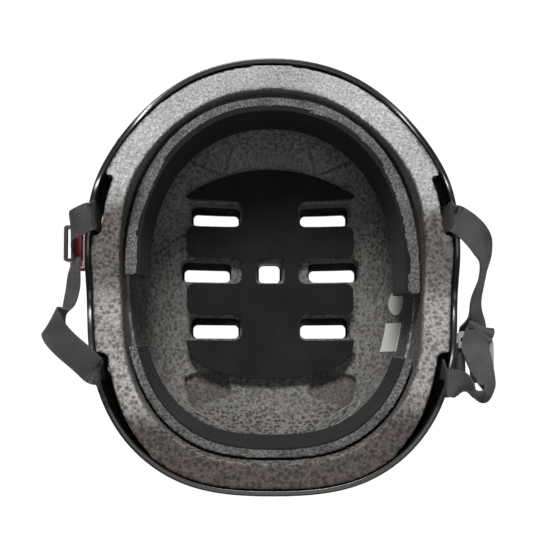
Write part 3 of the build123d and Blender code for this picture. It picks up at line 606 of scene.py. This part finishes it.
node_materials = {
    "brow_hooks": hook_black,
    "rear_hooks": hook_black,
    "crown_hooks": hook_black,
    "front_rivets": rivet_black,
    "rear_rivets": rivet_black,
    "rivet_washers": steel,
    "size_sticker": label,
    "label_sticker": label,
    "left_keeper": buckle_black,
    "plug_body": buckle_red,
    "plug_wing_front": buckle_red,
    "plug_wing_rear": buckle_red,
    "chin_slider": buckle_black,
    "buckle_socket": buckle_black,
}
for node, material in node_materials.items():
    mesh = frame["nodes"][node].data
    mesh.materials.clear()
    mesh.materials.append(material)


# Liner and shell, with the soft or broken edges of the real ones
liner = copy_of("eps_liner", "bead_foam_liner")
apply_modifier(liner, "REMESH", mode="VOXEL", voxel_size=liner_voxel)
apply_modifier(liner, "SMOOTH", factor=0.5, iterations=4)
only(liner)
bpy.ops.object.shade_smooth()
finish_piece(liner, "root", bead_foam, ["eps_liner"])

shell = copy_of("outer_shell", "hard_shell")
apply_modifier(
    shell, "BEVEL", width=edge_round, segments=3, limit_method="ANGLE", angle_limit=math.radians(50),
    use_clamp_overlap=False,
)
only(shell)
bpy.ops.object.shade_smooth_by_angle(angle=hard_crease)
finish_piece(shell, "root", shell_black, ["outer_shell"])


def seen_on(piece, across, down):
    """Place and direction of a piece's surface behind a pixel of the photograph."""
    reach = (camera_spot - camera_aim).length
    scale = view_width / photo_pixels
    aside = camera_right * ((across - photo_pixels / 2) * scale)
    above = camera_up * ((photo_pixels / 2 - down) * scale)
    toward = (aside + above - camera_back * reach).normalized()
    hit = piece.ray_cast(camera_spot, toward)
    return hit[1], hit[2]


def join_pieces(pieces, name):
    only(pieces[0])
    for piece in pieces:
        piece.select_set(True)
    bpy.ops.object.join()
    whole = bpy.context.object
    whole.name = name
    bpy.ops.object.transform_apply()
    return whole


def mark_cluster():
    """Round patch of small raised dots, lying flat."""
    dots = []
    reach = range(-2, 3)
    for row in reach:
        for column in reach:
            if row * row + column * column <= 5:
                clear_selection()
                bpy.ops.mesh.primitive_ico_sphere_add(
                    subdivisions=2, radius=mark_dot, location=(row * mark_pitch, column * mark_pitch, 0)
                )
                dots.append(bpy.context.object)
    return join_pieces(dots, "steam_mark")


bpy.context.view_layer.update()
cluster = mark_cluster()
marks = []
for across, down in steam_marks:
    place, normal = seen_on(liner, across, down)
    only(cluster)
    bpy.ops.object.duplicate()
    mark = bpy.context.object
    mark.matrix_world = Matrix.Translation(place) @ normal.to_track_quat("Z", "Y").to_matrix().to_4x4()
    marks.append(mark)
only(cluster)
bpy.ops.object.delete()
finish_piece(join_pieces(marks, "steam_marks"), "root", paler_foam)

outlines = []
for outline in slot_outlines:
    places = [seen_on(liner, *pixel)[0] for pixel in outline]
    curve = bpy.data.curves.new("slot_outline", "CURVE")
    curve.dimensions = "3D"
    curve.bevel_depth = outline_radius
    curve.bevel_resolution = 2
    line = curve.splines.new("NURBS")
    line.points.add(len(places) - 1)
    for point, place in zip(line.points, places):
        point.co = (*place, 1)
    line.use_cyclic_u = True
    line.order_u = 3
    bead = bpy.data.objects.new("slot_outline", curve)
    bpy.context.scene.collection.objects.link(bead)
    only(bead)
    bpy.ops.object.convert(target="MESH")
    outlines.append(bpy.context.object)
finish_piece(join_pieces(outlines, "slot_outlines"), "root", paler_foam)


# Divider, with its far corners well rounded
def round_divider():
    """Cuts the two far corners of the divider along a row of planes that touch one circle."""
    divider = copy_of("right_divider", "web_divider")
    low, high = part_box("right_divider")
    only(divider)
    bpy.ops.object.mode_set(mode="EDIT")
    for end, sense in ((low.y, -1), (high.y, 1)):
        middle = Vector((high.x - divider_round, end - sense * divider_round, low.z))
        for turn in corner_turns:
            outward = Vector((math.cos(math.radians(turn)), sense * math.sin(math.radians(turn)), 0))
            bpy.ops.mesh.select_all(action="SELECT")
            bpy.ops.mesh.bisect(
                plane_co=middle + outward * divider_round, plane_no=outward, use_fill=True, clear_outer=True
            )
    bpy.ops.object.mode_set(mode="OBJECT")
    bpy.ops.object.shade_smooth_by_angle(angle=hard_crease)
    finish_piece(divider, "right_strap", divider_painted_reflection, ["right_divider"])


round_divider()


# Webs: a grid laid along smooth rows, with real ribs
def between(before, start, end, after, share):
    """Point on a smooth curve through the points."""
    return 0.5 * (
        2 * start
        + (end - before) * share
        + (2 * before - 5 * start + 4 * end - after) * share ** 2
        + (3 * start - before - 3 * end + after) * share ** 3
    )


def smooth_rows(centres, acrosses, step):
    """Evenly spaced (centre, across) pairs along the smooth curve through the stations."""
    steps_per_station = 40
    dense = []
    last = len(centres) - 1
    for index in range(last):
        picks = (max(index - 1, 0), index, index + 1, min(index + 2, last))
        for number in range(steps_per_station):
            share = number / steps_per_station
            dense.append(
                (
                    between(*[centres[pick] for pick in picks], share),
                    between(*[acrosses[pick] for pick in picks], share),
                )
            )
    dense.append((centres[-1], acrosses[-1]))
    length = sum((dense[i + 1][0] - dense[i][0]).length for i in range(len(dense) - 1))
    count = round(length / step)
    rows = [dense[0]]
    travelled = 0.0
    target = length / count
    for (start, start_across), (end, end_across) in zip(dense, dense[1:]):
        run = (end - start).length
        while travelled + run >= target * len(rows) - 1e-12 and len(rows) <= count:
            share = (target * len(rows) - travelled) / run
            rows.append((start.lerp(end, share), start_across.lerp(end_across, share)))
        travelled += run
    return rows


def lay_web(name, centres, acrosses):
    """Strip of ribbed webbing through the stations."""
    step = rib_pitch / rows_per_rib
    rows = smooth_rows(centres, acrosses, step)
    clear_selection()
    bpy.ops.mesh.primitive_grid_add(x_subdivisions=web_columns, y_subdivisions=len(rows) - 1, size=1)
    piece = bpy.context.object
    piece.name = name
    mesh = piece.data
    grid_places = [
        (round((v.co.x + 0.5) * web_columns), round((v.co.y + 0.5) * (len(rows) - 1)))
        for v in mesh.vertices
    ]
    for vertex, (column, row) in zip(mesh.vertices, grid_places):
        centre, across = rows[row]
        tangent = (rows[min(row + 1, len(rows) - 1)][0] - rows[max(row - 1, 0)][0]).normalized()
        across = (across - tangent * across.dot(tangent)).normalized()
        normal = tangent.cross(across)
        share = 2 * column / web_columns - 1
        edge = 1 - abs(share) ** 8
        rib = rib_height * (abs(math.sin(math.pi * row / rows_per_rib)) - 0.5) * edge
        vertex.co = centre + across * (share * web_width / 2) + normal * rib
    layer = mesh.uv_layers[0]
    layer.name = "strip"
    for loop in mesh.loops:
        column, row = grid_places[loop.vertex_index]
        layer.data[loop.index].uv = (column / web_columns * web_width, row * step)
    apply_modifier(
        piece, "SOLIDIFY", thickness=web_thick - 2 * rib_height, offset=0, use_even_offset=False
    )
    only(piece)
    bpy.ops.object.shade_smooth_by_angle(angle=web_crease)
    return piece


def leg(side, base, shares):
    """Stations of a leg, from shares of the web's width out, along and up from its fold."""
    centres = []
    acrosses = []
    for out, along, up, across_out, across_along, across_up in shares:
        centre = base + Vector((out, along, up)) * web_width
        centres.append(Vector((side * centre.x, centre.y, centre.z)))
        acrosses.append(Vector((side * across_out, across_along, across_up)).normalized())
    return centres, acrosses


def riveted_end(side, base, lean, shift):
    """Stations of a web's fixed end, up between shell and liner and slanting over the rim."""
    turn = math.radians(lean)
    slant, square = math.sin(turn), math.cos(turn)
    inner = base.x - root_step_in
    crossing = base.y + shift * web_width
    below = crossing + 0.0045 * slant
    half_way = (math.sin(turn / 2), math.cos(turn / 2))
    stations = (
        ((inner - 0.0002, base.y, root_bottom), (0, 1, 0)),
        ((inner, base.y, base.z - 0.022), (0, 1, 0)),
        ((inner, (base.y + below) / 2, base.z - 0.012), (0, half_way[1], half_way[0])),
        ((inner, below, base.z - 0.004), (0, square, slant)),
        ((inner + 0.0007, crossing + 0.0015 * slant, base.z - 0.0012), (0.4 * slant, square, 0.9 * slant)),
        ((base.x, crossing, base.z), (slant, square, 0)),
    )
    centres = [Vector((side * x, y, z)) for (x, y, z), across in stations]
    acrosses = [Vector((side * x, y, z)).normalized() for centre, (x, y, z) in stations]
    return centres, acrosses


left_front_shares = (
    (0.25, -0.23, 0.02, 0.47, 0.88, 0.00),
    (0.43, -0.33, -0.04, 0.44, 0.88, -0.14),
    (0.57, -0.42, -0.20, 0.26, 0.88, -0.40),
    (0.63, -0.55, -0.50, 0.08, 0.88, -0.47),
    (0.65, -0.72, -1.00, 0.00, 0.95, -0.30),
    (0.62, -0.94, -1.60, 0.00, 1.00, 0.00),
)
left_rear_shares = (
    (0.38, 0.42, 0.05, -0.60, 0.80, 0.00),
    (0.92, 0.88, 0.08, -0.52, 0.85, 0.00),
    (1.30, 1.28, 0.02, -0.47, 0.88, 0.00),
    (1.50, 1.62, -0.18, -0.47, 0.88, 0.00),
    (1.55, 1.78, -0.45, -0.47, 0.88, 0.00),
    (1.42, 1.80, -0.75, -0.47, 0.88, 0.00),
    (1.10, 2.05, -1.00, -0.50, 0.80, 0.34),
    (0.92, 2.85, -1.25, -0.60, 0.25, 0.76),
    (0.85, 3.60, -1.28, -0.50, 0.10, 0.86),
    (0.74, 4.10, -1.28, -0.30, 0.00, 0.95),
)
right_front_shares = (
    (0.30, -0.38, 0.03, 0.60, 0.80, 0.00),
    (0.62, -0.68, 0.00, 0.66, 0.75, -0.08),
    (0.88, -1.05, -0.12, 0.70, 0.60, -0.35),
    (1.04, -1.50, -0.32, 0.55, 0.30, -0.78),
    (0.97, -2.15, -0.60, 0.35, 0.05, -0.94),
    (0.80, -2.90, -0.92, 0.45, -0.05, -0.89),
    (0.78, -3.55, -1.20, 0.60, 0.00, -0.80),
)
right_rear_shares = (
    (0.20, -0.47, 0.02, 0.29, 0.92, 0.26),
    (0.42, -0.57, 0.00, 0.32, 0.55, 0.77),
    (0.62, -0.68, -0.04, 0.06, 0.10, 0.99),
    (0.90, -0.80, -0.08, 0.00, 0.25, 0.97),
    (1.13, -0.76, -0.14, -0.45, 0.45, 0.77),
    (1.20, -0.42, -0.28, -0.75, 0.20, 0.62),
    (1.14, -0.05, -0.52, -0.92, 0.12, 0.38),
    (1.06, 0.48, -0.95, -0.98, 0.05, 0.15),
)


def part_at_fold(strip, side, keep_leg):
    """Cuts a strip by the upright plane through the line that the strap swings on."""
    line = rear_fold - front_fold
    outward = Vector((-side * line.y, line.x, 0)).normalized()
    only(strip)
    bpy.ops.object.mode_set(mode="EDIT")
    bpy.ops.mesh.select_all(action="SELECT")
    bpy.ops.mesh.bisect(
        plane_co=(side * front_fold.x, front_fold.y, front_fold.z),
        plane_no=outward,
        use_fill=True,
        clear_inner=keep_leg,
        clear_outer=not keep_leg,
    )
    bpy.ops.object.mode_set(mode="OBJECT")


ends = []


def lay_leg(stem, side, base, shares, further, body):
    """Lays a web from its rivet to its far end; the part past the fold swings with the strap."""
    centres, acrosses = riveted_end(side, base, *web_leans[stem])
    leg_centres, leg_acrosses = leg(side, base, shares)
    centres += leg_centres + [Vector(place) for place, across in further]
    acrosses += leg_acrosses + [Vector(across) for place, across in further]
    strip = lay_web(stem + "_webbing", centres, acrosses)
    bpy.ops.object.duplicate()
    end = bpy.context.object
    part_at_fold(strip, side, True)
    part_at_fold(end, side, False)
    ends.append(end)
    finish_piece(strip, body, webbing, [stem + "_web"])


plug_bar = front_fold + plug_offset
round_plug = [
    (
        (
            -plug_bar.x - bar_turn * math.cos(math.radians(turn)),
            plug_bar.y,
            plug_bar.z - bar_turn * math.sin(math.radians(turn)),
        ),
        (0, 1, 0),
    )
    for turn in turns_round_bar
]
round_plug.append(((-plug_bar.x + bar_turn, plug_bar.y, plug_bar.z + keeper_drop), (0, 1, 0)))
lay_leg("left_front", -1, front_fold, left_front_shares, round_plug, "left_strap")
lay_leg("left_rear", -1, rear_fold, left_rear_shares, [], "left_strap")

divider_low, divider_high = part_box("right_divider")
divider_length = divider_high.y - divider_low.y
lap_x = divider_high.x - divider_edge
through_divider = [
    ((lap_x, divider_high.y + along, divider_height - drop), (1, 0, 0))
    for along, drop in (
        (0.0003, 2 * tuck_drop),
        (-0.0033, 2 * tuck_drop),
        (-0.0057, tuck_drop),
        (-0.0057, 0),
    )
]
lay_leg("right_front", 1, front_fold, right_front_shares, through_divider, "right_strap")
over_divider = [
    ((lap_x + out, divider_low.y + along, divider_height + rise), (-across, 1 - across, 0))
    for out, along, rise, across in (
        (0, divider_length * lap_share, tuck_drop + 0.0006, 1.0),
        (0.0020, divider_length - 0.0015, tuck_drop + 0.0005, 0.72),
        (0.0036, divider_length + 0.0006, tuck_drop + 0.0002, 0.65),
        (0.0036, divider_length + 0.0027, tuck_drop - 0.0012, 0.65),
        (0.0036, divider_length + 0.0024, -tuck_drop / 2, 0.65),
    )
]
lay_leg("right_rear", 1, rear_fold, right_rear_shares, over_divider, "right_strap")

finish_piece(join_pieces(ends, "riveted_web_ends"), "root", webbing, ["web_roots"])


# Chin strap: one strip doubled between two bars
def chin_stations():
    low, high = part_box("chin_web")
    middle_x = (low.x + high.x) / 2
    middle_y = (low.y + high.y) / 2
    upper_turn = (high.x - low.x) / 2 - web_thick / 2
    bottom = low.z + bar_turn + web_thick / 2
    top = high.z - upper_turn - web_thick / 2
    places = [(-half_layer, top - 0.020), (-half_layer, top - 0.012), (-upper_turn, top - 0.004)]
    places += [
        (-upper_turn * math.cos(math.radians(turn)), top + upper_turn * math.sin(math.radians(turn)))
        for turn in turns_round_bar
    ]
    places += [(upper_turn, top - 0.004), (half_layer, top - 0.012), (half_layer, top - 0.045)]
    places += [(half_layer, bottom + 0.012), (bar_turn, bottom + 0.004)]
    places += [
        (bar_turn * math.cos(math.radians(turn)), bottom - bar_turn * math.sin(math.radians(turn)))
        for turn in turns_round_bar
    ]
    places += [(-bar_turn, bottom + 0.004), (-half_layer, bottom + 0.012), (-half_layer, top - 0.022)]
    return [Vector((middle_x + x, middle_y, z)) for x, z in places]


centres = chin_stations()
chin_strap = lay_web("chin_strap_webbing", centres, [Vector((0, 1, 0))] * len(centres))
finish_piece(chin_strap, "chin_strap", webbing, ["chin_web"])


# Pads: soft foam bodies, each with its cloth laid over the face
def soften(piece, voxel, rounds):
    """Rounds a merged copy into soft foam."""
    apply_modifier(piece, "REMESH", mode="VOXEL", voxel_size=voxel)
    apply_modifier(piece, "SMOOTH", factor=0.5, iterations=rounds)
    only(piece)
    bpy.ops.object.shade_smooth()


def sway(piece, size, strength):
    """Slow waves in a soft surface."""
    clouds = bpy.data.textures.new(piece.name + "_waves", "CLOUDS")
    clouds.noise_scale = size
    apply_modifier(
        piece, "DISPLACE", texture=clouds, strength=strength, mid_level=0.5, texture_coords="LOCAL"
    )


def keep_faces(piece, wanted):
    """Deletes the faces that a test on centre and normal doesn't pick."""
    only(piece)
    bpy.ops.object.mode_set(mode="EDIT")
    bpy.ops.mesh.select_all(action="DESELECT")
    bpy.ops.mesh.select_mode(type="FACE")
    bpy.ops.object.mode_set(mode="OBJECT")
    for face in piece.data.polygons:
        face.select = not wanted(face.center, face.normal)
    bpy.ops.object.mode_set(mode="EDIT")
    bpy.ops.mesh.delete(type="FACE")
    bpy.ops.object.mode_set(mode="OBJECT")


def cut_in_grid(piece, pitch):
    """Cuts the faces of a thin sheet by evenly spaced planes, so that it can bend."""
    corners = [Vector(corner) for corner in piece.bound_box]
    only(piece)
    bpy.ops.object.mode_set(mode="EDIT")
    for axis in range(3):
        start = min(corner[axis] for corner in corners)
        length = max(corner[axis] for corner in corners) - start
        direction = [0, 0, 0]
        direction[axis] = 1
        for number in range(1, int(length / pitch) + 1):
            place = [0, 0, 0]
            place[axis] = start + number * pitch
            bpy.ops.mesh.select_all(action="SELECT")
            bpy.ops.mesh.bisect(plane_co=place, plane_no=direction)
    bpy.ops.object.mode_set(mode="OBJECT")


def faces_head(centre, normal):
    """True on a wall pad's inner side."""
    inward = Vector((-centre.x, -centre.y * 0.62, 0.025)).normalized()
    return normal.dot(inward) > 0.35


def faces_up(centre, normal):
    return normal.z > 0.3


def lean_in(piece, top, height, share):
    """Draws the lower edge of a wall pad away from the wall, as it is held at its upper edge."""
    for vertex in piece.data.vertices:
        fall = min(max((top - vertex.co.z) / height, 0.0), 1.0)
        vertex.co.x *= 1 - share * fall
        vertex.co.y *= 1 - share * fall


def make_pad(stem, facing, cloth_material, depth, lean):
    """A soft foam body with a die-cut cloth glued on its inner side."""
    foam = copy_of(stem + "_foam", stem + "_soft_foam")
    soften(foam, foam_voxel, 2)
    sway(foam, wave_size, wave_strength)
    lean_in(foam, *lean)
    cloth = copy_of(stem + "_face", stem + "_cloth")
    keep_faces(cloth, facing)
    cut_in_grid(cloth, cloth_grid)
    sway(cloth, wave_size, wave_strength)
    lean_in(cloth, *lean)
    apply_modifier(cloth, "SOLIDIFY", thickness=depth, offset=-1, use_even_offset=False)
    apply_modifier(
        cloth, "BEVEL", width=cloth_edge, segments=2, limit_method="ANGLE", angle_limit=math.radians(60)
    )
    only(cloth)
    bpy.ops.object.shade_smooth_by_angle(angle=cloth_crease)
    finish_piece(foam, stem, pad_foam, [stem + "_foam"])
    finish_piece(cloth, stem, cloth_material, [stem + "_face"])


make_pad("brow_pad", faces_head, pad_cloth, wrapped_cloth, brow_lean)
make_pad("rear_pad", faces_head, rear_cloth, cloth_thick, rear_lean)
make_pad("crown_pad", faces_up, pad_cloth, cloth_thick, no_lean)

chin_cushion = copy_of("chin_pad", "chin_cushion")
soften(chin_cushion, cushion_voxel, 6)
finish_piece(chin_cushion, "chin_pad", pad_cloth, ["chin_pad"])


# Floor, world, lamps and camera
def make_floor():
    clear_selection()
    bpy.ops.mesh.primitive_plane_add(size=floor_size, location=(0, 0, -floor_drop))
    floor = bpy.context.object
    floor.name = "studio_floor"
    material = bpy.data.materials.new("studio_floor_white")
    material.use_nodes = True
    tree = material.node_tree
    shader = tree.nodes["Principled BSDF"]
    shader.inputs["Base Color"].default_value = (0.86, 0.86, 0.86, 1)
    shader.inputs["Roughness"].default_value = 0.9
    path = tree.nodes.new("ShaderNodeLightPath")
    seen = maths(tree, "MAXIMUM", path.outputs["Is Camera Ray"], path.outputs["Is Glossy Ray"])
    seen = maths(tree, "MAXIMUM", seen, path.outputs["Is Transmission Ray"])
    glow = add_node(tree, "ShaderNodeEmission", {"Color": (1, 1, 1, 1), "Strength": floor_glow})
    blend = tree.nodes.new("ShaderNodeMixShader")
    tree.links.new(maths(tree, "MULTIPLY", seen, floor_glow_share), blend.inputs[0])
    tree.links.new(shader.outputs[0], blend.inputs[1])
    tree.links.new(glow.outputs[0], blend.inputs[2])
    tree.links.new(blend.outputs[0], tree.nodes["Material Output"].inputs["Surface"])
    floor.data.materials.append(material)


def make_world():
    world = bpy.data.worlds.new("studio_world")
    bpy.context.scene.world = world
    world.use_nodes = True
    tree = world.node_tree
    path = tree.nodes.new("ShaderNodeLightPath")
    seen = maths(tree, "MAXIMUM", path.outputs["Is Camera Ray"], path.outputs["Is Transmission Ray"])
    strength = maths(tree, "ADD", maths(tree, "MULTIPLY", seen, 1 - world_strength), world_strength)
    background = tree.nodes["Background"]
    background.inputs["Color"].default_value = (1, 1, 1, 1)
    tree.links.new(strength, background.inputs["Strength"])


def add_lamp(name, spot, aim, size, power):
    light = bpy.data.lights.new(name, "AREA")
    light.shape = "DISK"
    light.size = size
    light.energy = power
    lamp = bpy.data.objects.new(name, light)
    bpy.context.scene.collection.objects.link(lamp)
    lamp.location = spot
    lamp.rotation_mode = "QUATERNION"
    lamp.rotation_quaternion = (Vector(aim) - Vector(spot)).to_track_quat("-Z", "Y")


def make_camera():
    data = bpy.data.cameras.new("photo_camera")
    camera = bpy.data.objects.new("photo_camera", data)
    bpy.context.scene.collection.objects.link(camera)
    turn = Matrix((camera_right, camera_up, camera_back)).transposed()
    camera.matrix_world = Matrix.Translation(camera_spot) @ turn.to_4x4()
    data.sensor_width = 36.0
    data.lens = data.sensor_width * (camera_spot - camera_aim).length / view_width
    data.clip_start = 0.01
    data.clip_end = 50
    bpy.context.scene.camera = camera


make_floor()
make_world()
add_lamp("key_lamp", (-0.12, 1.05, 1.40), (0, -0.03, 0.08), 0.55, 24)
add_lamp("fill_lamp", (0.1, -0.3, 1.9), (0, 0, 0.1), 0.9, 4)
make_camera()
bpy.context.scene.view_settings.view_transform = "Standard"
